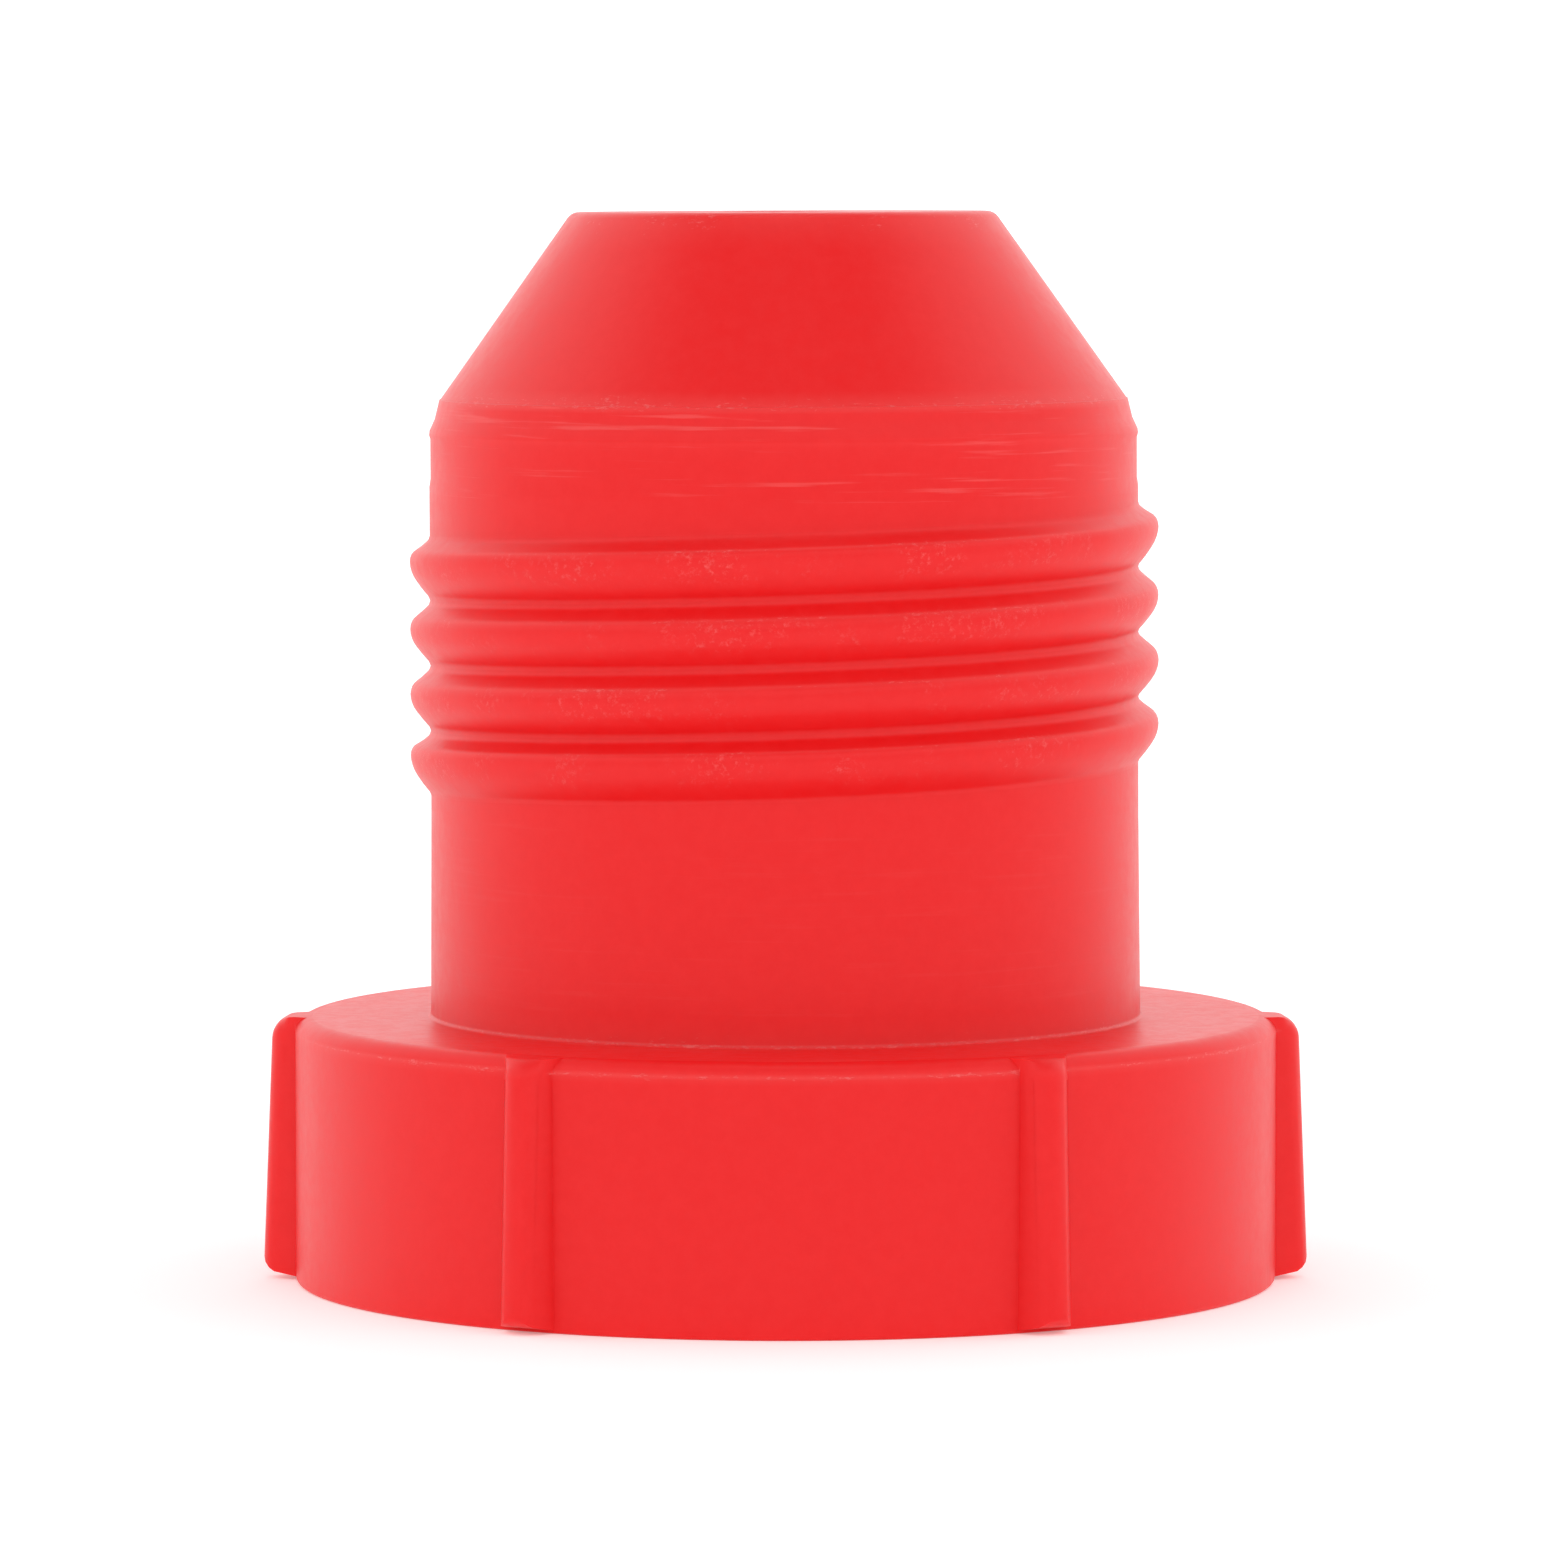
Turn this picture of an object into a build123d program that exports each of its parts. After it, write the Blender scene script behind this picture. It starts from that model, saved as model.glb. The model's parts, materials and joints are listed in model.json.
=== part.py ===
from build123d import *
import math
import os

# Threaded protective plug for 37 degree flared-tube fittings: one polyethylene moulding.
# It stands on the rim of its head. The origin is the centre of that rim, and the nose points up +Z.
# All sizes are in millimetres and degrees.

# Overall
OVERALL_HEIGHT = 26.10
WALL = 1.55                      # wall of the shank and the nose
HEAD_WALL = 1.60                 # wall of the head's skirt and web

# Head
HEAD_RADIUS = 12.00
HEAD_HEIGHT = 6.48
HEAD_EDGE_ROUND = 0.42
HEAD_RIM_ROUND = 0.12
FOOT_ROUND = 0.18                # where the shank meets the head

# Grip ribs
RIB_COUNT = 6
RIB_REACH_BOTTOM = 0.80          # how far a rib stands out of the head at its foot
RIB_REACH_TOP = 0.56
RIB_TIP_HALF_WIDTH = 0.34
RIB_ROOT_HALF_WIDTH = 0.66
RIB_TIP_ROUND = 0.12
RIB_TOP_ROUND = 0.55
RIB_FOOT_SLOPE = 15.0
RIB_BEDDING = 0.50               # how deep a rib starts inside the head

# Shank and pilot
SHANK_RADIUS = 8.64              # at the thread
SHANK_FOOT_SPREAD = 0.04         # how much wider the shank is at the head
PILOT_STEP = 0.03                # how much narrower the pilot is
PILOT_TAPER = 0.20               # height over which the shank narrows to the pilot

# Thread: 3/4-16 UNF pitch, right-hand, undersized rounded crests
THREAD_PITCH = 25.4 / 16
THREAD_HEIGHT = 0.49
THREAD_LAND = 0.23               # flat root left between two turns
THREAD_CREST_WIDTH = 0.58
THREAD_CREST_RISE = 0.09
THREAD_TURNS = 3.85
THREAD_MIDDLE_ANGLE = 90.0       # the half-way point of the helix, seen from above, from +X
THREAD_DROP = 5.94               # from the top of the band down to the middle of the thread
THREAD_BEDDING = 0.10

# Band, bead and nose cone
BAND_STEP = 0.15                 # how much narrower the band is than the shank
BAND_HEIGHT = 0.40
BEAD_DROP = 0.70                 # from the top of the band down to the bead
BEAD_HALF_HEIGHT = 0.10
BEAD_RISE = 0.03
NOSE_RADIUS = 5.10
CONE_HALF_ANGLE = 35.3
CONE_LEDGE = 0.06                # flat step between the cone's base and the band
NOSE_EDGE_ROUND = 0.25

# Core, open at the head
CORE_DRAFT = 0.5
CORE_ROOF_ROUND = 0.80
CORE_MOUTH_ROUND = 0.50
POCKET_DRAFT = 1.0
POCKET_CORNER_ROUND = 0.60

# Moulding marks
GATE_DIMPLE_RADIUS = 1.60
GATE_DIMPLE_DEPTH = 0.30
GATE_NUB_RADIUS = 0.45
GATE_NUB_HEIGHT = 0.18
EJECTOR_COUNT = 4
EJECTOR_RADIUS = 0.80
EJECTOR_DEPTH = 0.08

# Radii and heights that follow from the sizes above
SHANK_FOOT_RADIUS = SHANK_RADIUS + SHANK_FOOT_SPREAD
PILOT_RADIUS = SHANK_RADIUS - PILOT_STEP
BAND_RADIUS = SHANK_RADIUS - BAND_STEP
CONE_SLOPE = math.tan(math.radians(CONE_HALF_ANGLE))
CONE_HEIGHT = (BAND_RADIUS - CONE_LEDGE - NOSE_RADIUS) / CONE_SLOPE
BAND_TOP_Z = OVERALL_HEIGHT - CONE_HEIGHT
BEAD_Z = BAND_TOP_Z - BEAD_DROP
THREAD_MIDDLE_Z = BAND_TOP_Z - THREAD_DROP
POCKET_ROOF_Z = HEAD_HEIGHT - HEAD_WALL
POCKET_RADIUS = HEAD_RADIUS - HEAD_WALL
CORE_RADIUS = SHANK_FOOT_RADIUS - WALL


def turned(section):
    """A solid of revolution about Z from a closed (radius, height) section."""
    return revolve(section, axis=Axis.Z, revolution_arc=360)


def section_of(points):
    """A closed face in the XZ plane through (radius, height) points."""
    outline = Polyline([(radius, 0, height) for radius, height in points], close=True)
    return make_face(outline).face()


def rounded(section, corners):
    """Rounds the corners of a (radius, height) section: corners are (radius, height, round)."""
    for radius, height, size in corners:
        target = Vector(radius, 0, height)
        corner = min(section.vertices(), key=lambda vertex: (Vector(*vertex) - target).length)
        section = section.fillet_2d(size, [corner])
    return section


def outer_body():
    """Nose, cone, band, bead, pilot, shank and head as one turned shape."""
    bead_low = BEAD_Z - BEAD_HALF_HEIGHT
    bead_high = BEAD_Z + BEAD_HALF_HEIGHT
    thread_reach = THREAD_PITCH * (THREAD_TURNS + 1) / 2
    points = [
        (0, 0),
        (HEAD_RADIUS, 0),
        (HEAD_RADIUS, HEAD_HEIGHT),
        (SHANK_FOOT_RADIUS, HEAD_HEIGHT),
        (SHANK_RADIUS, THREAD_MIDDLE_Z - thread_reach),
        (SHANK_RADIUS, THREAD_MIDDLE_Z + thread_reach),
        (PILOT_RADIUS, THREAD_MIDDLE_Z + thread_reach + PILOT_TAPER),
        (PILOT_RADIUS, bead_low),
        (PILOT_RADIUS + BEAD_RISE, bead_low + BEAD_RISE),
        (PILOT_RADIUS + BEAD_RISE, bead_high - BEAD_RISE),
        (BAND_RADIUS, BAND_TOP_Z - BAND_HEIGHT),
        (BAND_RADIUS, BAND_TOP_Z),
        (BAND_RADIUS - CONE_LEDGE, BAND_TOP_Z),
        (NOSE_RADIUS, OVERALL_HEIGHT),
        (0, OVERALL_HEIGHT),
    ]
    corners = [
        (HEAD_RADIUS, 0, HEAD_RIM_ROUND),
        (HEAD_RADIUS, HEAD_HEIGHT, HEAD_EDGE_ROUND),
        (SHANK_FOOT_RADIUS, HEAD_HEIGHT, FOOT_ROUND),
        (NOSE_RADIUS, OVERALL_HEIGHT, NOSE_EDGE_ROUND),
    ]
    return turned(rounded(section_of(points), corners))


def rib_section(reach, height):
    """One rib's cross-section at a height: a wedge that narrows outwards."""
    tip = HEAD_RADIUS + reach
    root = HEAD_RADIUS - RIB_BEDDING
    flare = (RIB_ROOT_HALF_WIDTH - RIB_TIP_HALF_WIDTH) / reach
    root_half_width = RIB_TIP_HALF_WIDTH + flare * (tip - root)
    points = [
        (root, -root_half_width, height),
        (tip, -RIB_TIP_HALF_WIDTH, height),
        (tip, RIB_TIP_HALF_WIDTH, height),
        (root, root_half_width, height),
    ]
    wedge = make_face(Polyline(points, close=True)).face()
    tips = wedge.vertices().sort_by(Axis.X)[-2:]
    return wedge.fillet_2d(RIB_TIP_ROUND, tips)


def rib_envelope():
    """The turned outline that slopes the ribs' feet and rounds their top corners."""
    foot_rise = RIB_REACH_BOTTOM * math.tan(math.radians(RIB_FOOT_SLOPE))
    inner = HEAD_RADIUS - 2 * RIB_BEDDING
    outer = HEAD_RADIUS + RIB_REACH_BOTTOM
    points = [
        (inner, 0),
        (HEAD_RADIUS, 0),
        (outer, foot_rise),
        (HEAD_RADIUS + RIB_REACH_TOP, HEAD_HEIGHT),
        (inner, HEAD_HEIGHT),
    ]
    corners = [
        (outer, foot_rise, RIB_TIP_ROUND),
        (HEAD_RADIUS + RIB_REACH_TOP, HEAD_HEIGHT, RIB_TOP_ROUND),
    ]
    return turned(rounded(section_of(points), corners))


def grip_ribs():
    """Drafted ribs, evenly spaced round the head, the first on +X."""
    wedge = loft([rib_section(RIB_REACH_BOTTOM, 0), rib_section(RIB_REACH_TOP, HEAD_HEIGHT)])
    rib = wedge & rib_envelope()
    return [Rot(0, 0, index * 360 / RIB_COUNT) * rib for index in range(RIB_COUNT)]


def thread_section(start_z, inner, crest):
    """The ridge's axial section on +X: straight flanks and an arched crest."""
    shoulder = crest - THREAD_CREST_RISE
    flare = (THREAD_PITCH - THREAD_LAND - THREAD_CREST_WIDTH) / 2 / (shoulder - SHANK_RADIUS)
    half_base = THREAD_CREST_WIDTH / 2 + flare * (shoulder - inner)
    half_crest = THREAD_CREST_WIDTH / 2
    low = (inner, 0, start_z - half_base)
    low_shoulder = (shoulder, 0, start_z - half_crest)
    top = (crest, 0, start_z)
    high_shoulder = (shoulder, 0, start_z + half_crest)
    high = (inner, 0, start_z + half_base)
    edges = [
        Line(low, low_shoulder),
        ThreePointArc(low_shoulder, top, high_shoulder),
        Line(high_shoulder, high),
        Line(high, low),
    ]
    return make_face(edges)


def thread_ridge():
    """The helical ridge, with both ends run out on flats that touch the shank."""
    height = THREAD_PITCH * THREAD_TURNS
    start_z = THREAD_MIDDLE_Z - height / 2
    inner = SHANK_RADIUS - THREAD_BEDDING
    crest = SHANK_RADIUS + THREAD_HEIGHT
    path = Helix(THREAD_PITCH, height, SHANK_RADIUS, center=(0, 0, start_z))
    ridge = sweep(thread_section(start_z, inner, crest), path=path, is_frenet=True)
    for turn_angle, z in ((0, start_z), (360 * THREAD_TURNS, start_z + height)):
        ridge = ridge - run_out_block(turn_angle, z, crest)
    first_angle = THREAD_MIDDLE_ANGLE - 180 * THREAD_TURNS
    return Rot(0, 0, first_angle) * ridge


def run_out_block(turn_angle, z, crest):
    """A block whose inner face is the flat on which one end of the ridge runs out."""
    reach = math.sqrt(crest ** 2 - SHANK_RADIUS ** 2) * 1.2
    depth = 2 * THREAD_HEIGHT
    block = Box(depth, 2 * reach, THREAD_PITCH * 1.02)
    block = Pos(SHANK_RADIUS + depth / 2, 0, z) * block
    return Rot(0, 0, turn_angle) * block


def core():
    """The space inside: a shallow pocket in the head and a bore up to the nose."""
    draft = math.tan(math.radians(CORE_DRAFT))
    pocket_mouth = POCKET_RADIUS + POCKET_ROOF_Z * math.tan(math.radians(POCKET_DRAFT))
    shoulder_z = BAND_TOP_Z - WALL
    shoulder = CORE_RADIUS - (shoulder_z - POCKET_ROOF_Z) * draft
    roof_z = OVERALL_HEIGHT - WALL
    roof = shoulder - (roof_z - shoulder_z) * CONE_SLOPE
    points = [
        (0, -1),
        (pocket_mouth, -1),
        (pocket_mouth, 0),
        (POCKET_RADIUS, POCKET_ROOF_Z),
        (CORE_RADIUS, POCKET_ROOF_Z),
        (shoulder, shoulder_z),
        (roof, roof_z),
        (0, roof_z),
    ]
    corners = [
        (POCKET_RADIUS, POCKET_ROOF_Z, POCKET_CORNER_ROUND),
        (CORE_RADIUS, POCKET_ROOF_Z, CORE_MOUTH_ROUND),
        (shoulder, shoulder_z, CORE_ROOF_ROUND),
        (roof, roof_z, CORE_ROOF_ROUND),
    ]
    return turned(rounded(section_of(points), corners))


def gate_mark():
    """The dimple in the nose, less the nub that the gate leaves in it."""
    floor_z = OVERALL_HEIGHT - GATE_DIMPLE_DEPTH
    dimple = Cylinder(GATE_DIMPLE_RADIUS, 2 * GATE_DIMPLE_DEPTH)
    nub = Cylinder(GATE_NUB_RADIUS, 2 * GATE_NUB_HEIGHT)
    return Pos(0, 0, OVERALL_HEIGHT) * dimple - Pos(0, 0, floor_z) * nub


def ejector_marks():
    """Shallow round marks that the ejector pins leave in the web of the head."""
    ring = (POCKET_RADIUS + CORE_RADIUS) / 2
    pin = Pos(ring, 0, POCKET_ROOF_Z) * Cylinder(EJECTOR_RADIUS, 2 * EJECTOR_DEPTH)
    first = 180 / EJECTOR_COUNT
    return [Rot(0, 0, first + index * 360 / EJECTOR_COUNT) * pin for index in range(EJECTOR_COUNT)]


def threaded_plug():
    """The whole moulding."""
    plug = outer_body()
    for rib in grip_ribs():
        plug = plug + rib
    plug = plug + thread_ridge()
    plug = plug - core()
    plug = plug - gate_mark()
    for mark in ejector_marks():
        plug = plug - mark
    return plug


os.makedirs("parts", exist_ok=True)
export_step(threaded_plug(), "parts/threaded_plug.step")
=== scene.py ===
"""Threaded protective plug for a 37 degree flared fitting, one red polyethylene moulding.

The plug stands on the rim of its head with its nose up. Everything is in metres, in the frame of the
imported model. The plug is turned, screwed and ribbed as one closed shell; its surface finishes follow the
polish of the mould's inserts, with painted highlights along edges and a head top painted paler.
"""

import json
import logging
import math
from dataclasses import dataclass, field
from enum import Enum

import bpy
import bmesh
from mathutils import Matrix, Vector, noise

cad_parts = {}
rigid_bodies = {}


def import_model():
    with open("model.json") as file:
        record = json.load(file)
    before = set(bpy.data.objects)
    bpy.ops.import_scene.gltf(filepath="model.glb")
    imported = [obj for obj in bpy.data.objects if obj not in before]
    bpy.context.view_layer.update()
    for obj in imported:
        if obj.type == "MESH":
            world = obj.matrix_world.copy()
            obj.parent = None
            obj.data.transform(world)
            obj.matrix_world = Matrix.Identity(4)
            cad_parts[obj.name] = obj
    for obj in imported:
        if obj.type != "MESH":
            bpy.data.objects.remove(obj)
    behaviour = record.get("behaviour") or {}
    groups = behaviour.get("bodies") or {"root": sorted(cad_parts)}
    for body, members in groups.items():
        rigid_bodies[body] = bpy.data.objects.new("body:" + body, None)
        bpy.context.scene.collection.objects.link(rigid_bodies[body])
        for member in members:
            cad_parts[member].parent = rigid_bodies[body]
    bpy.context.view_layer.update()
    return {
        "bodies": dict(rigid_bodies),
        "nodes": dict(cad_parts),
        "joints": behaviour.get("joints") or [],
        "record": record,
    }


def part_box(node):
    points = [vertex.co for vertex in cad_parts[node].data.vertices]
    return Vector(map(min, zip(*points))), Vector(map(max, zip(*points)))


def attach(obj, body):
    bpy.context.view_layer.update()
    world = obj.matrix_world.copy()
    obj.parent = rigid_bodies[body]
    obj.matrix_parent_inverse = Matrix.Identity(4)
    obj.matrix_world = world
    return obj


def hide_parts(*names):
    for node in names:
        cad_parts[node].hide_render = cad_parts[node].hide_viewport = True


LOG = logging.getLogger("threaded_plug")
MM = 0.001
CAD_NODE = "threaded_plug"
BODY = "root"
SMOOTH_BELOW_DEGREES = 32
RIB_TIP_RADIUS = 12.80 * MM
SHANK_OVER_PILOT = 0.03 * MM
CONE_FULLNESS = 0.04 * MM


class Finish(Enum):
    """The finishes that the mould's inserts leave, in the plug's slot order; the head top's is also painted
    paler.
    """

    NOSE = 0
    PILOT = 1
    THREAD = 2
    SHANK = 3
    HEAD_TOP = 4
    GRIP = 5
    CORE = 6


@dataclass(frozen=True)
class Station:
    """One ring of a turned outline."""

    radius: float
    height: float


# ---------------------------------------------------------------------------------------------------------
# Small modelling helpers
# ---------------------------------------------------------------------------------------------------------


def select_only(piece: bpy.types.Object) -> None:
    """Makes one object the only selected one, and the active one.

    Args:
        piece: the object to select.
    """
    for other in bpy.context.view_layer.objects:
        other.select_set(False)
    piece.select_set(True)
    bpy.context.view_layer.objects.active = piece


def edit(piece: bpy.types.Object, mode: str = "VERT") -> bmesh.types.BMesh:
    """Opens an object in edit mode.

    Args:
        piece: the object to edit.
        mode: what is selected: VERT, EDGE or FACE.

    Returns:
        The edit mesh, for choosing what the next operator acts on.
    """
    select_only(piece)
    bpy.ops.object.mode_set(mode="EDIT")
    bpy.ops.mesh.select_mode(type=mode)
    return bmesh.from_edit_mesh(piece.data)


def leave_edit() -> None:
    """Goes back to object mode."""
    bpy.ops.object.mode_set(mode="OBJECT")


def edit_all(piece: bpy.types.Object) -> None:
    """Opens an object in edit mode with everything selected."""
    edit(piece)
    bpy.ops.mesh.select_all(action="SELECT")


def face_outwards(piece: bpy.types.Object) -> None:
    """Turns every face of a closed shell outwards.

    Args:
        piece: the shell.
    """
    edit_all(piece)
    bpy.ops.mesh.normals_make_consistent(inside=False)
    leave_edit()


def copy_around(piece: bpy.types.Object, count: int) -> None:
    """Repeats a piece at equal turns about Z.

    Args:
        piece: the first one, which the copies are added to.
        count: how many there are in all.
    """
    edit_all(piece)
    bpy.ops.mesh.spin(steps=count - 1, dupli=True, center=(0, 0, 0), axis=(0, 0, 1),
                      angle=math.tau * (count - 1) / count)
    leave_edit()


def apply_modifiers(piece: bpy.types.Object) -> None:
    """Applies every modifier of an object, first to last.

    Args:
        piece: the object whose modifiers are applied.
    """
    select_only(piece)
    for modifier in list(piece.modifiers):
        bpy.ops.object.modifier_apply(modifier=modifier.name)


def join(pieces: list[bpy.types.Object]) -> bpy.types.Object:
    """Joins objects into the first one.

    Args:
        pieces: the objects to join.

    Returns:
        The joined object.
    """
    select_only(pieces[0])
    for piece in pieces[1:]:
        piece.select_set(True)
    bpy.ops.object.join()
    return pieces[0]


def arc(centre: Station, radius: float, start: float, end: float, steps: int) -> list[Station]:
    """Stations along a round in a turned outline.

    Args:
        centre: the centre of the round.
        radius: the radius of the round.
        start: the first angle in degrees, from outwards towards up.
        end: the last angle in degrees.
        steps: how many stretches the round is cut into.

    Returns:
        The stations, both ends included.
    """
    angles = [math.radians(start + (end - start) * index / steps) for index in range(steps + 1)]
    return [
        Station(centre.radius + radius * math.cos(angle), centre.height + radius * math.sin(angle))
        for angle in angles
    ]


def straight(start: Station, end: Station, steps: int) -> list[Station]:
    """Stations along a straight stretch, without its first one.

    Args:
        start: where the stretch starts.
        end: where it ends.
        steps: how many pieces it is cut into.

    Returns:
        The stations after the start.
    """
    shares = [(index + 1) / steps for index in range(steps)]
    return [
        Station(start.radius + (end.radius - start.radius) * share,
                start.height + (end.height - start.height) * share)
        for share in shares
    ]


def corner_round(before: Station, corner: Station, after: Station, radius: float,
                 steps: int = 6) -> tuple[Station, list[Station]]:
    """Rounds the corner between two straight stretches of an outline.

    Args:
        before: a station on the stretch into the corner.
        corner: the sharp corner.
        after: a station on the stretch out of it.
        radius: the radius of the round.
        steps: how many stretches the round is cut into.

    Returns:
        Where the round starts, and the stations after that.
    """
    tip = Vector((corner.radius, corner.height))
    into = (Vector((before.radius, before.height)) - tip).normalized()
    out = (Vector((after.radius, after.height)) - tip).normalized()
    half = into.angle(out) / 2
    centre = tip + (into + out).normalized() * radius / math.sin(half)
    entry = tip + into * radius / math.tan(half)
    leave = tip + out * radius / math.tan(half)
    start = entry - centre
    sweep = start.angle_signed(leave - centre)
    turned = [centre + Matrix.Rotation(-sweep * index / steps, 2) @ start for index in range(1, steps + 1)]
    return Station(*entry), [Station(*place) for place in turned]


def tangent(degrees: float) -> float:
    """The tangent of an angle in degrees."""
    return math.tan(math.radians(degrees))


def smooth_share(value: float) -> float:
    """Eases a share from 0 to 1, flat at both ends."""
    share = min(1.0, max(0.0, value))
    return share * share * (3 - 2 * share)


# ---------------------------------------------------------------------------------------------------------
# Turned shells
# ---------------------------------------------------------------------------------------------------------


@dataclass
class Lathe:
    """Turns an outline into a shell by extruding a ring of edges from station to station."""

    segments: int = 240

    def turn(self, name: str, outline: list[Station]) -> bpy.types.Object:
        """Builds a shell of revolution about Z.

        Args:
            name: the object's name.
            outline: the stations in order; an end with no radius is closed to a pole.

        Returns:
            The shell, with its place in its mesh.
        """
        starts_at_pole = outline[0].radius == 0
        ends_at_pole = outline[-1].radius == 0
        rings = outline[1 if starts_at_pole else 0:-1 if ends_at_pole else None]
        bpy.ops.mesh.primitive_circle_add(vertices=self.segments, radius=rings[0].radius)
        shell = bpy.context.object
        shell.name = name
        edit(shell, "EDGE")
        bpy.ops.mesh.select_all(action="SELECT")
        bpy.ops.transform.translate(value=(0, 0, rings[0].height))
        if starts_at_pole:
            self.close_pole(shell, outline[0].height)
        for before, after in zip(rings, rings[1:]):
            rise = (0, 0, after.height - before.height)
            bpy.ops.mesh.extrude_edges_move(TRANSFORM_OT_translate={"value": rise})
            spread = after.radius / before.radius
            bpy.ops.transform.resize(value=(spread, spread, 1), center_override=(0, 0, 0))
        if ends_at_pole:
            self.close_pole(shell, outline[-1].height)
        leave_edit()
        return shell

    def close_pole(self, shell: bpy.types.Object, height: float) -> None:
        """Closes the selected ring with a fan of triangles about a pole, and selects the ring again.

        Args:
            shell: the shell in edit mode, with the ring selected.
            height: the pole's height.
        """
        mesh = bmesh.from_edit_mesh(shell.data)
        ring = {edge.index for edge in mesh.edges if edge.select}
        count = len(mesh.verts)
        bpy.ops.mesh.edge_face_add()
        bpy.ops.mesh.select_mode(type="FACE")
        bpy.ops.mesh.poke()
        mesh = bmesh.from_edit_mesh(shell.data)
        mesh.verts.ensure_lookup_table()
        mesh.verts[count].co.z = height
        bpy.ops.mesh.select_mode(type="EDGE")
        bpy.ops.mesh.select_all(action="DESELECT")
        mesh.edges.ensure_lookup_table()
        for index in ring:
            mesh.edges[index].select_set(True)
        bmesh.update_edit_mesh(shell.data)


# ---------------------------------------------------------------------------------------------------------
# The plug's stretches, from the core inside to the nose
# ---------------------------------------------------------------------------------------------------------


@dataclass
class Thread:
    """The rounded single-start ridge, right-hand, that runs out at the back."""

    middle: float
    crest_radius: float
    shank_radius: float
    pitch: float = 25.4 / 16 * MM
    turns: float = 3.85
    middle_angle: float = 90.0
    land: float = 0.14 * MM
    crest_width: float = 0.70 * MM
    crest_drop: float = 0.13 * MM
    root_round: float = 0.06 * MM
    middle_lift: float = 0.10 * MM
    crest_lift: float = 0.20 * MM
    run_out: float = 18.0
    wobble: float = 0.012 * MM
    wobble_scales: tuple[float, float] = (0.55, 1.6)
    # Where the painted highlight sits on the crest's shoulder, and how much brighter it is on the front than
    # behind.
    highlight_inset: float = 0.03 * MM
    highlight_width: float = 0.05 * MM
    highlight_behind: float = 0.45
    highlight_front_gain: float = 3.3
    highlight_front_start: float = 1.8

    @property
    def height(self) -> float:
        """How far the crest stands out of the shank."""
        return self.crest_radius - self.shank_radius

    @property
    def low(self) -> float:
        """The height of the flat ring below the thread."""
        return self.middle - self.pitch * (self.turns + 1) / 2

    @property
    def high(self) -> float:
        """The height of the flat ring above the thread."""
        return self.middle + self.pitch * (self.turns + 1) / 2

    def ridge(self, offset: float) -> float:
        """How far the ridge stands out at a distance along the axis from its middle.

        Args:
            offset: the distance along the axis.

        Returns:
            The height over the shank.
        """
        away = abs(offset)
        half_crest = self.crest_width / 2
        half_base = (self.pitch - self.land) / 2
        bow = (half_crest ** 2 + self.crest_drop ** 2) / (2 * self.crest_drop)
        if away <= half_crest:
            return self.height - bow + math.sqrt(bow ** 2 - away ** 2)
        if away >= half_base:
            return 0.0
        return (self.height - self.crest_drop) * (half_base - away) / (half_base - half_crest)

    def section(self) -> list[Station]:
        """The ridge and its lands over one pitch, as offsets along the axis and heights over the shank."""
        half_crest = self.crest_width / 2
        half_base = (self.pitch - self.land) / 2
        crest = [half_crest * share for share in (0.0, 0.3, 0.6, 0.85, 1.1)]
        flank = [half_crest + (half_base - half_crest) * share for share in (0.45, 0.75, 0.88)]
        foot = [half_base - self.root_round * 0.2, half_base + self.root_round, self.pitch / 2]
        offsets = crest + flank + foot
        rises = [self.ridge(offset) for offset in offsets]
        rises[-3] = self.root_round * 0.45
        right = [Station(rise, offset) for rise, offset in zip(rises, offsets)]
        left = [Station(rise, -offset) for rise, offset in zip(rises, offsets)]
        return left[:0:-1] + right

    def strip(self, segments: int) -> bpy.types.Object:
        """The threaded stretch of the shank, cut off flat below and above the thread.

        Args:
            segments: how many steps a turn has.

        Returns:
            An open shell whose two ends are flat rings.
        """
        spare = math.ceil(self.turns / 2) + 2
        start = self.middle - self.pitch * (self.middle_angle / 360 + spare)
        section = self.section()
        bpy.ops.mesh.primitive_plane_add(size=MM)
        strip = bpy.context.object
        strip.name = "thread"
        edit_all(strip)
        bpy.ops.mesh.merge(type="CENTER")
        bpy.ops.transform.translate(value=(self.shank_radius, 0, start + section[0].height))
        for before, after in zip(section, section[1:]):
            step = (after.radius - before.radius, 0, after.height - before.height)
            bpy.ops.mesh.extrude_vertices_move(TRANSFORM_OT_translate={"value": step})
        leave_edit()
        screw = strip.modifiers.new("screw", "SCREW")
        screw.screw_offset = self.pitch
        screw.iterations = 2 * spare + 1
        screw.steps = screw.render_steps = segments
        apply_modifiers(strip)
        edit_all(strip)
        bpy.ops.mesh.remove_doubles(threshold=0.002 * MM)
        leave_edit()
        self.run_ends_out(strip)
        self.cut_flat(strip)
        return strip

    def along(self, place: Vector) -> tuple[float, float]:
        """Where a spot lies on the ridge nearest to it.

        Args:
            place: the spot.

        Returns:
            The turns from the ridge's middle, and the height above the ridge's own middle line.
        """
        turn = math.atan2(place.y, place.x) / math.tau - self.middle_angle / 360
        turns = turn + round((place.z - self.middle) / self.pitch - turn)
        return turns, place.z - self.middle - turns * self.pitch

    def end_share(self, turns: float) -> float:
        """How much a spot belongs to the ridge's two end turns, from 0 to 1."""
        return smooth_share(1.2 - self.turns / 2 + abs(turns))

    def lift(self, turns: float, share: float) -> float:
        """How far the ridge leans upwards, most of all in its two end turns.

        Args:
            turns: the turns from the ridge's middle.
            share: how far up the ridge the spot is, from 0 to 1.

        Returns:
            The rise along the axis.
        """
        most = self.middle_lift + (self.crest_lift - self.middle_lift) * self.end_share(turns)
        return most * share ** 2

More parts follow.
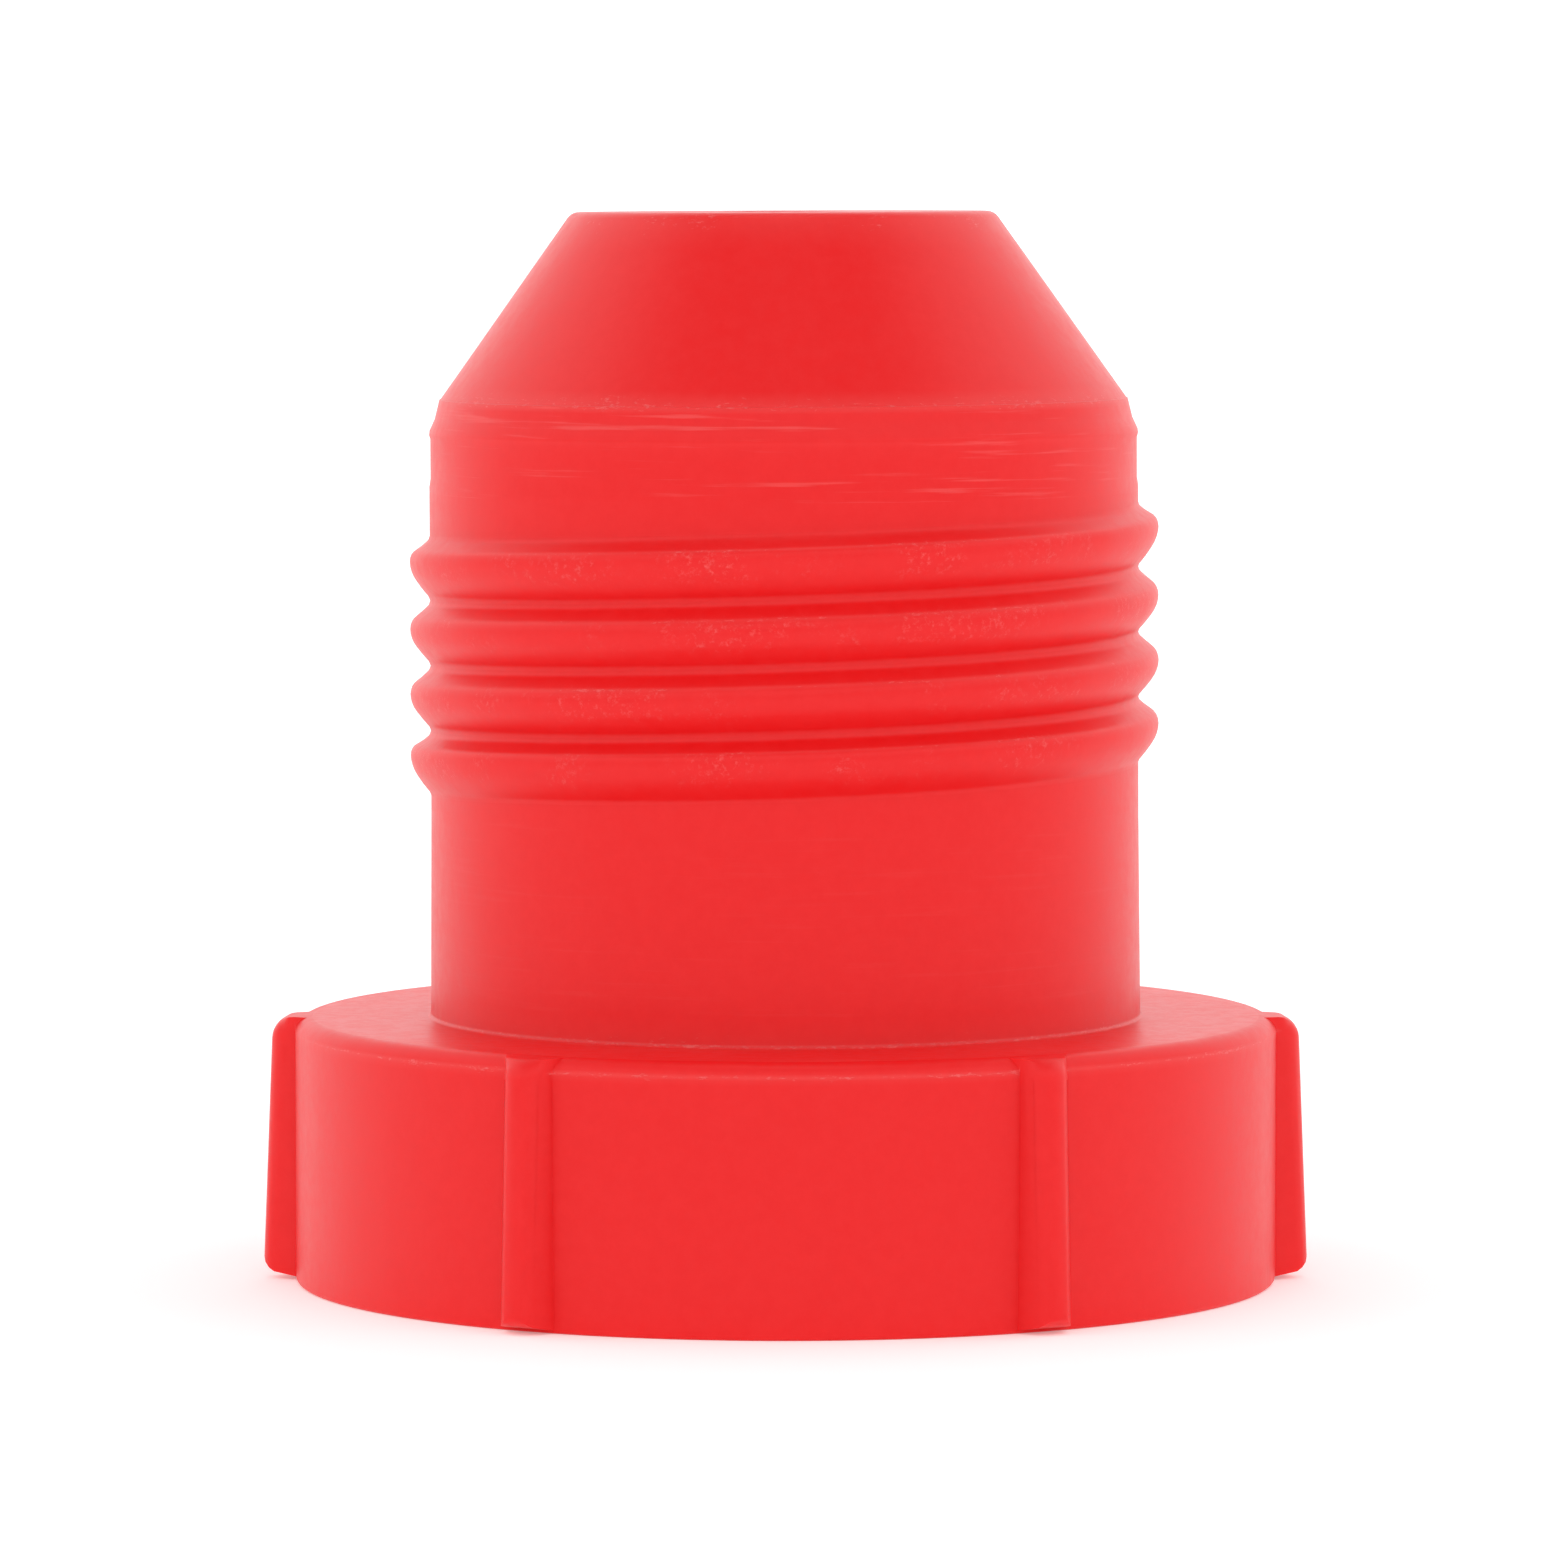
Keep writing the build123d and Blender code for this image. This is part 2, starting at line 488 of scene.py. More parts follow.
    def shoulder(self, place: Vector) -> float:
        """How near a spot is to the crest's upper shoulder, where a painted highlight and some scuffing lie.

        Args:
            place: the spot.

        Returns:
            1 on the shoulder, falling to 0 beside it.
        """
        turns, offset = self.along(place)
        share = (math.hypot(place.x, place.y) - self.shank_radius) / self.height
        offset -= self.lift(turns, max(share, 0))
        beside = (offset - self.crest_width / 2 + self.highlight_inset) / self.highlight_width
        # The painted highlight is brighter on the front, towards the camera, than behind.
        facing = -place.y / self.crest_radius
        in_front = smooth_share(self.highlight_front_gain * facing - self.highlight_front_start)
        highlight_share = self.highlight_behind + (1 - self.highlight_behind) * in_front
        return highlight_share * math.exp(-beside * beside) * smooth_share((share - 0.5) / 0.3)

    def run_ends_out(self, strip: bpy.types.Object) -> None:
        """Sinks the ridge into the shank past its two ends, and moulds the crest's unevenness.

        Args:
            strip: the screwed shell.
        """
        coarse, fine = self.wobble_scales
        for vertex in strip.data.vertices:
            place = vertex.co
            radius = math.hypot(place.x, place.y)
            turns = self.along(place)[0]
            rise = radius - self.shank_radius
            share = rise / self.height
            kept = smooth_share((self.turns / 2 - abs(turns)) * 360 / self.run_out)
            bump = noise.noise(place / MM * coarse) + 0.5 * noise.noise(place / MM * fine)
            new_rise = rise * kept + self.wobble * bump * share * kept
            stretch = (self.shank_radius + new_rise) / radius
            lift = self.lift(turns, share) * kept
            vertex.co = (place.x * stretch, place.y * stretch, place.z + lift)

    def cut_flat(self, strip: bpy.types.Object) -> None:
        """Cuts the strip off at its flat rings.

        Args:
            strip: the screwed shell.
        """
        for height, lower in ((self.low, True), (self.high, False)):
            edit_all(strip)
            bpy.ops.mesh.bisect(plane_co=(0, 0, height), plane_no=(0, 0, 1),
                                clear_inner=lower, clear_outer=not lower, threshold=0.001 * MM)
            leave_edit()


@dataclass
class Shank:
    """The plain round body that carries the thread, and the pilot above it."""

    radius: float
    pilot_radius: float
    foot_spread: float = 0.04 * MM
    pilot_taper: float = 0.20 * MM

    @property
    def foot_radius(self) -> float:
        """The radius where the shank meets the head."""
        return self.radius + self.foot_spread

    def lower(self, foot: float, top: float) -> list[Station]:
        """The stretch between the head and the thread.

        Args:
            foot: the height where the stretch starts.
            top: the height where the thread's ring takes over.

        Returns:
            The stations after the foot.
        """
        return straight(Station(self.foot_radius, foot), Station(self.radius, top), 8)

    def upper(self, bottom: float, top: float) -> list[Station]:
        """The pilot, from the thread up to the bead.

        Args:
            bottom: the height where the thread's ring ends.
            top: the height where the bead starts.

        Returns:
            The stations, the first one included.
        """
        first = Station(self.radius, bottom)
        narrowed = Station(self.pilot_radius, bottom + self.pilot_taper)
        return [first, narrowed] + straight(narrowed, Station(self.pilot_radius, top), 3)


@dataclass
class Nose:
    """The bead, the band, the sealing cone and the nose's flat end with the gate's dimple."""

    height: float
    cone_radius: float
    cone_height: float
    pilot_radius: float
    half_angle: float = 35.3
    edge_round: float = 0.35 * MM
    ledge: float = 0.03 * MM
    edge_rise: float = 0.16 * MM
    band_foot_drop: float = 0.32 * MM
    bead_drop: float = 0.70 * MM
    bead_half_height: float = 0.10 * MM
    bead_rise: float = 0.03 * MM
    dimple_radius: float = 1.60 * MM
    dimple_depth: float = 0.30 * MM
    nub_radius: float = 0.45 * MM
    nub_height: float = 0.18 * MM

    @property
    def base(self) -> float:
        """The height of the cone's base."""
        return self.height - self.cone_height

    @property
    def lower_edge(self) -> Station:
        """The cone's lower edge, a little above its nominal base."""
        slope = tangent(self.half_angle)
        return Station(self.cone_radius - self.edge_rise * slope, self.base + self.edge_rise)

    @property
    def bead_bottom(self) -> float:
        """The height where the bead starts."""
        return self.base - self.bead_drop - self.bead_half_height

    def outline(self) -> list[Station]:
        """The stations from the bead's underside to the pole of the gate's nub."""
        bead = Station(self.pilot_radius + self.bead_rise, self.bead_bottom + self.bead_half_height)
        cone_foot = self.lower_edge
        band_foot = Station(self.cone_radius + self.ledge, self.base - self.band_foot_drop)
        crown = Station(self.pilot_radius + self.bead_rise * 0.6, bead.height + self.bead_half_height)
        band_top = Station(cone_foot.radius + self.ledge, cone_foot.height - self.ledge / 2)
        step = Station(cone_foot.radius + self.ledge * 2 / 3, cone_foot.height - self.ledge / 8)
        flat_radius = self.cone_radius - self.cone_height * tangent(self.half_angle)
        turn = 90 - self.half_angle
        inset = self.edge_round * tangent(turn / 2)
        centre = Station(flat_radius - inset, self.height - self.edge_round)
        edge = arc(centre, self.edge_round, self.half_angle, 90, 7)
        stations = [bead, crown, band_foot]
        stations += straight(band_foot, band_top, 3)
        stations += [step, cone_foot]
        stations += straight(cone_foot, edge[0], 12)
        stations += edge[1:]
        return stations + self.gate_outline(edge[-1])

    def gate_outline(self, edge: Station) -> list[Station]:
        """The flat end and the dimple with the gate's nub.

        Args:
            edge: the last station of the nose's rounded edge.

        Returns:
            The stations to the pole.
        """
        lip = 0.05 * MM
        floor = self.height - self.dimple_depth
        rim = Station(self.dimple_radius + lip, self.height)
        stations = straight(edge, rim, 5)
        stations += [
            Station(self.dimple_radius + lip * 0.3, self.height - lip * 0.3),
            Station(self.dimple_radius, self.height - lip),
            Station(self.dimple_radius, floor + lip),
            Station(self.dimple_radius - lip, floor),
            Station(self.nub_radius * 2, floor),
            Station(self.nub_radius + lip, floor),
            Station(self.nub_radius, floor + lip),
            Station(self.nub_radius * 0.92, floor + self.nub_height * 0.7),
            Station(self.nub_radius * 0.70, floor + self.nub_height * 0.98),
            Station(self.nub_radius * 0.35, floor + self.nub_height * 0.90),
            Station(0, floor + self.nub_height),
        ]
        return stations


@dataclass
class Core:
    """The empty inside: a pocket in the head and a bore up to the nose."""

    wall: float = 1.55 * MM
    head_wall: float = 1.60 * MM
    draft: float = 0.5
    pocket_draft: float = 1.0
    roof_round: float = 0.80 * MM
    mouth_round: float = 0.50 * MM
    pocket_round: float = 0.60 * MM
    rim_round: float = 0.10 * MM
    mark_count: int = 4
    mark_radius: float = 0.80 * MM
    mark_depth: float = 0.08 * MM

    def outline(self, head: "Head", shank: Shank, nose: Nose) -> list[Station]:
        """The stations from the roof's pole down the bore, across the pocket to its mouth.

        Args:
            head: the head round the pocket.
            shank: the shank round the bore.
            nose: the nose over the bore.

        Returns:
            The stations, as far as the head's rim.
        """
        slope = tangent(nose.half_angle)
        draft = tangent(self.draft)
        pocket_draft = tangent(self.pocket_draft)
        pocket_roof = head.height - self.head_wall
        pocket_radius = head.radius - self.head_wall
        bore_radius = shank.foot_radius - self.wall
        shoulder = nose.base - self.wall
        shoulder_radius = bore_radius - (shoulder - pocket_roof) * draft
        roof = nose.height - self.wall
        roof_radius = shoulder_radius - (roof - shoulder) * slope
        mouth_radius = pocket_radius + pocket_roof * pocket_draft
        corners = [
            (Station(roof_radius, roof), self.roof_round),
            (Station(shoulder_radius, shoulder), self.roof_round),
            (Station(bore_radius, pocket_roof), self.mouth_round),
            (Station(pocket_radius, pocket_roof), self.pocket_round),
            (Station(mouth_radius, 0), self.rim_round),
        ]
        path = [Station(0, roof), Station(roof_radius * 0.3, roof)]
        ends = [corner for corner, _ in corners] + [Station(head.radius, 0)]
        for index, (corner, size) in enumerate(corners):
            after = ends[index + 1]
            entry, rounded = corner_round(path[-1], corner, after, size)
            path += straight(path[-1], entry, 4) + rounded
        return path

    def marks(self, head: "Head", shank: Shank) -> bpy.types.Object:
        """The ejector pins' marks, as short pins across the pocket's roof.

        Args:
            head: the head round the pocket.
            shank: the shank round the bore.

        Returns:
            The closed pins.
        """
        ring = (shank.foot_radius - self.wall + head.radius - self.head_wall) / 2
        first = math.pi / self.mark_count
        place = (ring * math.cos(first), ring * math.sin(first), head.height - self.head_wall)
        bpy.ops.mesh.primitive_cylinder_add(vertices=32, radius=self.mark_radius,
                                            depth=2 * self.mark_depth, location=place)
        pins = bpy.context.object
        pins.name = "ejector_marks"
        bpy.ops.object.transform_apply(location=True, rotation=True, scale=True)
        copy_around(pins, self.mark_count)
        return pins


@dataclass
class Head:
    """The round head that the fingers turn, and its grip ribs."""

    radius: float
    height: float
    rib_tip_radius: float
    edge_round: float = 0.42 * MM
    rim_round: float = 0.12 * MM
    foot_round: float = 0.10 * MM
    edge_below: float = 0.12 * MM
    rib_count: int = 6
    rib_top_reach: float = 0.56 * MM
    rib_tip_half_width: float = 0.34 * MM
    rib_root_half_width: float = 0.66 * MM
    rib_tip_round: float = 0.28 * MM
    rib_top_round: float = 0.55 * MM
    rib_foot_slope: float = 15.0
    rib_bed: float = 0.40 * MM
    rib_set_back: float = 0.02 * MM

    def outline(self, shank: Shank) -> list[Station]:
        """The stations from the rim up the side and across the top to the shank.

        Args:
            shank: the shank that stands on the head.

        Returns:
            The stations, as far as the top of the small round at the shank's foot.
        """
        rim = Station(self.radius - self.rim_round, self.rim_round)
        edge = Station(self.radius - self.edge_round, self.height - self.edge_round)
        foot = Station(shank.foot_radius + self.foot_round, self.height + self.foot_round)
        side = arc(rim, self.rim_round, -90, 0, 4)
        top = arc(edge, self.edge_round, 0, 90, 8)
        below = Station(self.radius, top[0].height - self.edge_below)
        stations = side + straight(side[-1], below, 6) + top
        fillet = arc(foot, self.foot_round, 270, 180, 5)
        return stations + straight(top[-1], fillet[0], 8) + fillet[1:]

    def ribs(self) -> bpy.types.Object:
        """The drafted ribs as closed wedges that are bedded in the head."""
        low = self.rib_set_back
        top = self.height - self.rib_set_back
        bed = self.radius - self.rib_bed
        reach = self.rib_tip_radius - self.radius
        flare = (self.rib_root_half_width - self.rib_tip_half_width) / reach
        bed_half_width = self.rib_tip_half_width + flare * (reach + self.rib_bed)
        size = (self.rib_tip_radius - bed, 2 * bed_half_width, top - low)
        middle = ((self.rib_tip_radius + bed) / 2, 0, (top + low) / 2)
        bpy.ops.mesh.primitive_cube_add(size=1, location=middle, scale=size)
        ribs = bpy.context.object
        ribs.name = "ribs"
        bpy.ops.object.transform_apply(location=True, rotation=True, scale=True)
        self.narrow_tip(ribs, bed_half_width)
        self.draft_tip(ribs, reach)
        self.round_tip(ribs)
        copy_around(ribs, self.rib_count)
        return ribs

    def narrow_tip(self, ribs: bpy.types.Object, bed_half_width: float) -> None:
        """Narrows the rib's outer face.

        Args:
            ribs: the first rib.
            bed_half_width: half the rib's width at its bed.
        """
        mesh = edit(ribs, "FACE")
        bpy.ops.mesh.select_all(action="DESELECT")
        for face in mesh.faces:
            face.select_set(face.normal.x > 0.9)
        share = self.rib_tip_half_width / bed_half_width
        bpy.ops.transform.resize(value=(1, share, 1), center_override=(0, 0, 0))
        leave_edit()

    def draft_tip(self, ribs: bpy.types.Object, reach: float) -> None:
        """Leans the rib's outer face inwards towards its top, and slopes its foot.

        Args:
            ribs: the first rib.
            reach: how far the rib stands out of the head at its foot.
        """
        foot_rise = reach * tangent(self.rib_foot_slope)
        for upper, move in ((True, (self.rib_top_reach - reach, 0, 0)), (False, (0, 0, foot_rise))):
            mesh = edit(ribs, "VERT")
            bpy.ops.mesh.select_all(action="DESELECT")
            for vertex in mesh.verts:
                outer = vertex.co.x > self.radius + self.rib_top_reach / 2
                vertex.select_set(outer and (vertex.co.z > self.height / 2) == upper)
            bpy.ops.transform.translate(value=move)
            leave_edit()

    def round_tip(self, ribs: bpy.types.Object) -> None:
        """Rounds the rib's top corner first, then its two long edges and its foot.

        Args:
            ribs: the first rib.
        """
        for upright, size, steps in ((False, self.rib_top_round, 8), (True, self.rib_tip_round, 3)):
            mesh = edit(ribs, "EDGE")
            bpy.ops.mesh.select_all(action="DESELECT")
            for edge in mesh.edges:
                edge.select_set(self.is_tip_edge(edge, upright))
            bpy.ops.mesh.bevel(offset=size, segments=steps, profile=0.5)
            leave_edit()

    def is_tip_edge(self, edge: bmesh.types.BMEdge, upright: bool) -> bool:
        """Whether an edge bounds the rib's outer face.

        Args:
            edge: the edge.
            upright: True for the outer face's sides and foot, False for its straight top.

        Returns:
            True where the edge is to be rounded.
        """
        first, second = (vertex.co for vertex in edge.verts)
        outer = min(first.x, second.x) > self.radius + self.rib_top_reach / 4
        across = abs(first.y - second.y) > self.rib_tip_half_width
        at_top = min(first.z, second.z) > self.height - 2 * self.rib_top_round
        if not upright:
            return outer and across and at_top
        on_side = abs(first.y) > self.rib_tip_half_width / 2 and first.y * second.y > 0
        at_foot = across and max(first.z, second.z) < self.height / 4
        return outer and (on_side or at_foot)


# ---------------------------------------------------------------------------------------------------------
# Shader node groups that the finishes share
# ---------------------------------------------------------------------------------------------------------


@dataclass
class NodeBench:
    """Adds and links nodes in one node tree."""

    tree: bpy.types.NodeTree

    def add(self, kind: str, **settings: object) -> bpy.types.Node:
        """Adds a node.

        Args:
            kind: the node's type name, such as ShaderNodeMath.
            settings: attributes of the node; a name with capitals or spaces isn't one of them.

        Returns:
            The node.
        """
        node = self.tree.nodes.new(kind)
        for name, value in settings.items():
            setattr(node, name, value)
        return node

    def link(self, source: bpy.types.NodeSocket, target: bpy.types.NodeSocket) -> None:
        """Links an output to an input."""
        self.tree.links.new(source, target)

    def feed(self, target: bpy.types.NodeSocket, value: object) -> None:
        """Links a socket to an input, or sets the input's own value.

        Args:
            target: the input.
            value: an output socket, or a number, colour or vector.
        """
        if isinstance(value, bpy.types.NodeSocket):
            self.link(value, target)
        else:
            target.default_value = value

    def math(self, operation: str, first: object, second: object = 0.0) -> bpy.types.NodeSocket:
        """Adds a Math node.

        Args:
            operation: what the node does.
            first: its first number.
            second: its second number.

        Returns:
            The result.
        """
        node = self.add("ShaderNodeMath", operation=operation)
        self.feed(node.inputs[0], first)
        self.feed(node.inputs[1], second)
        return node.outputs[0]

    def ramp(self, value: object, low: float, high: float) -> bpy.types.NodeSocket:
        """Maps a value smoothly from 0 at low to 1 at high."""
        node = self.add("ShaderNodeMapRange", interpolation_type="SMOOTHSTEP")
        self.feed(node.inputs["Value"], value)
        node.inputs["From Min"].default_value = low
        node.inputs["From Max"].default_value = high
        return node.outputs["Result"]

    def noise(self, vector: object, scale: object, detail: float, roughness: float) -> bpy.types.NodeSocket:
        """Adds a Noise Texture.

        Args:
            vector: where it is read.
            scale: its scale.
            detail: its octaves.
            roughness: how strong the finer octaves are.

        Returns:
            The noise, from 0 to 1.
        """
        node = self.add("ShaderNodeTexNoise")
        self.feed(node.inputs["Vector"], vector)
        self.feed(node.inputs["Scale"], scale)
        node.inputs["Detail"].default_value = detail
        node.inputs["Roughness"].default_value = roughness
        return node.outputs["Fac"]

    def stretch(self, vector: object, scale: tuple[float, float, float]) -> bpy.types.NodeSocket:
        """Stretches a pattern's coordinates."""
        node = self.add("ShaderNodeMapping", vector_type="POINT")
        self.feed(node.inputs["Vector"], vector)
        node.inputs["Scale"].default_value = scale
        return node.outputs["Vector"]

    def mix(self, share: object, first: object, second: object) -> bpy.types.NodeSocket:
        """Mixes two colours.

        Args:
            share: how much of the second.
            first: the first colour.
            second: the second colour.

        Returns:
            The mixed colour.
        """
        node = self.add("ShaderNodeMix", data_type="RGBA")
        self.feed(node.inputs[0], share)
        self.feed(node.inputs[6], first)
        self.feed(node.inputs[7], second)
        return node.outputs[2]


@dataclass
class SharedEffect:
    """A shader node group under construction, with its inputs and outputs."""

    name: str
    inputs: dict[str, str]
    outputs: list[str]
    tree: bpy.types.NodeTree = field(init=False)
    bench: NodeBench = field(init=False)
    entry: bpy.types.Node = field(init=False)
    leave: bpy.types.Node = field(init=False)

    def __post_init__(self) -> None:
        """Makes the group and its sockets."""
        self.tree = bpy.data.node_groups.new(self.name, "ShaderNodeTree")
        for name, kind in self.inputs.items():
            self.tree.interface.new_socket(name=name, in_out="INPUT", socket_type=f"NodeSocket{kind}")
        for name in self.outputs:
            self.tree.interface.new_socket(name=name, in_out="OUTPUT", socket_type="NodeSocketFloat")
        self.bench = NodeBench(self.tree)
        self.entry = self.bench.add("NodeGroupInput")
        self.leave = self.bench.add("NodeGroupOutput")

    @property
    def pattern(self) -> tuple[NodeBench, bpy.types.NodeSocket, bpy.types.NodeSocket]:
        """The group's nodes, and the place and the scale that it is given."""
        return self.bench, self.entry.outputs["Vector"], self.entry.outputs["Scale"]

    def give(self, **results: bpy.types.NodeSocket) -> bpy.types.NodeTree:
        """Links the results to the group's outputs.

        Args:
            results: an output socket for each output, by its name in lower case.

        Returns:
            The finished group.
        """
        for name in self.outputs:
            self.bench.link(results[name.lower()], self.leave.inputs[name])
        return self.tree


def moulded_grain() -> bpy.types.NodeTree:
    """The fine grain and soft waviness of moulded polyethylene, and its uneven colour."""
    effect = SharedEffect("moulded_grain", {"Vector": "Vector", "Scale": "Float"},
                          ["Height", "Waves", "Mottle"])
    bench, vector, scale = effect.pattern
    height = bench.noise(vector, scale, 5.0, 0.62)
    waves = bench.noise(vector, bench.math("MULTIPLY", scale, 0.08), 3.0, 0.5)
    mottle = bench.noise(vector, bench.math("MULTIPLY", scale, 0.55), 6.0, 0.72)
    return effect.give(height=height, waves=waves, mottle=bench.ramp(mottle, 0.34, 0.68))


def turning_lines() -> bpy.types.NodeTree:
    """Fine rings about the axis, as the turned inserts of the mould leave them."""
    effect = SharedEffect("turning_lines", {"Vector": "Vector", "Scale": "Float"}, ["Height", "Worn"])
    bench, vector, scale = effect.pattern
    parts = bench.add("ShaderNodeSeparateXYZ")
    bench.link(vector, parts.inputs["Vector"])
    flat = bench.add("ShaderNodeCombineXYZ")
    bench.link(parts.outputs["X"], flat.inputs["X"])
    bench.link(parts.outputs["Y"], flat.inputs["Y"])
    reach = bench.add("ShaderNodeVectorMath", operation="LENGTH")
    bench.link(flat.outputs["Vector"], reach.inputs[0])
    around = bench.add("ShaderNodeVectorMath", operation="NORMALIZE")
    bench.link(flat.outputs["Vector"], around.inputs[0])
    sides = bench.add("ShaderNodeSeparateXYZ")
    bench.link(around.outputs["Vector"], sides.inputs["Vector"])
    heights = []
    for share, along, detail in ((1.0, 2.2, 3.0), (1.1, 2.6, 4.0)):
        fine = bench.math("MULTIPLY", scale, share)
        place = bench.add("ShaderNodeCombineXYZ")
        bench.link(bench.math("MULTIPLY", reach.outputs["Value"], fine), place.inputs["X"])
        bench.link(bench.math("MULTIPLY", sides.outputs["X"], along), place.inputs["Y"])
        bench.link(bench.math("MULTIPLY", sides.outputs["Y"], along), place.inputs["Z"])
        rings = bench.add("ShaderNodeTexNoise", noise_dimensions="4D")
        bench.link(place.outputs["Vector"], rings.inputs["Vector"])
        bench.link(bench.math("MULTIPLY", parts.outputs["Z"], fine), rings.inputs["W"])
        rings.inputs["Scale"].default_value = 1.0
        rings.inputs["Detail"].default_value = detail
        heights.append(rings.outputs["Fac"])
    return effect.give(height=heights[0], worn=bench.ramp(heights[1], 0.55, 0.70))


def rubbed_spots() -> bpy.types.NodeTree:
    """Painted highlight with scuffs along edges, and fine pale specks where the plug stands proud."""
    effect = SharedEffect("rubbed_spots", {"Vector": "Vector", "Scale": "Float", "Edge": "Float",
                                           "Proud": "Float"}, ["Scuffs", "Nicks"])
    bench, vector, scale = effect.pattern
    patches = bench.noise(vector, bench.math("MULTIPLY", scale, 0.12), 2.0, 0.5)
    fine = bench.math("MULTIPLY", scale, 2.2)
    streaks = bench.noise(bench.stretch(vector, (0.5, 0.5, 1.6)), fine, 4.0, 0.7)
    # Broken lines along the edges, partly scuffs and partly painted highlight.
    broken = bench.math("ADD", bench.math("MULTIPLY", patches, 0.3), bench.math("MULTIPLY", streaks, 0.9))
    edge = effect.entry.outputs["Edge"]
    reached = bench.math("ADD", broken, bench.math("MULTIPLY", edge, 0.22))
    specked = bench.math("MULTIPLY", bench.ramp(reached, 0.76, 0.98), bench.ramp(edge, 0.05, 0.35))
    # A smooth painted sheen along the whole edge, under the broken lines.
    scuffs = bench.math("MAXIMUM", specked, bench.math("MULTIPLY", edge, 0.28))
    specks = bench.noise(vector, bench.math("MULTIPLY", scale, 1.5), 6.0, 0.75)
    chosen = bench.math("MULTIPLY", bench.ramp(specks, 0.50, 0.74), bench.ramp(patches, 0.40, 0.62))
    nicks = bench.math("MULTIPLY", chosen, effect.entry.outputs["Proud"])
    return effect.give(scuffs=scuffs, nicks=nicks)


# ---------------------------------------------------------------------------------------------------------
# The plug's surface finishes
# ---------------------------------------------------------------------------------------------------------


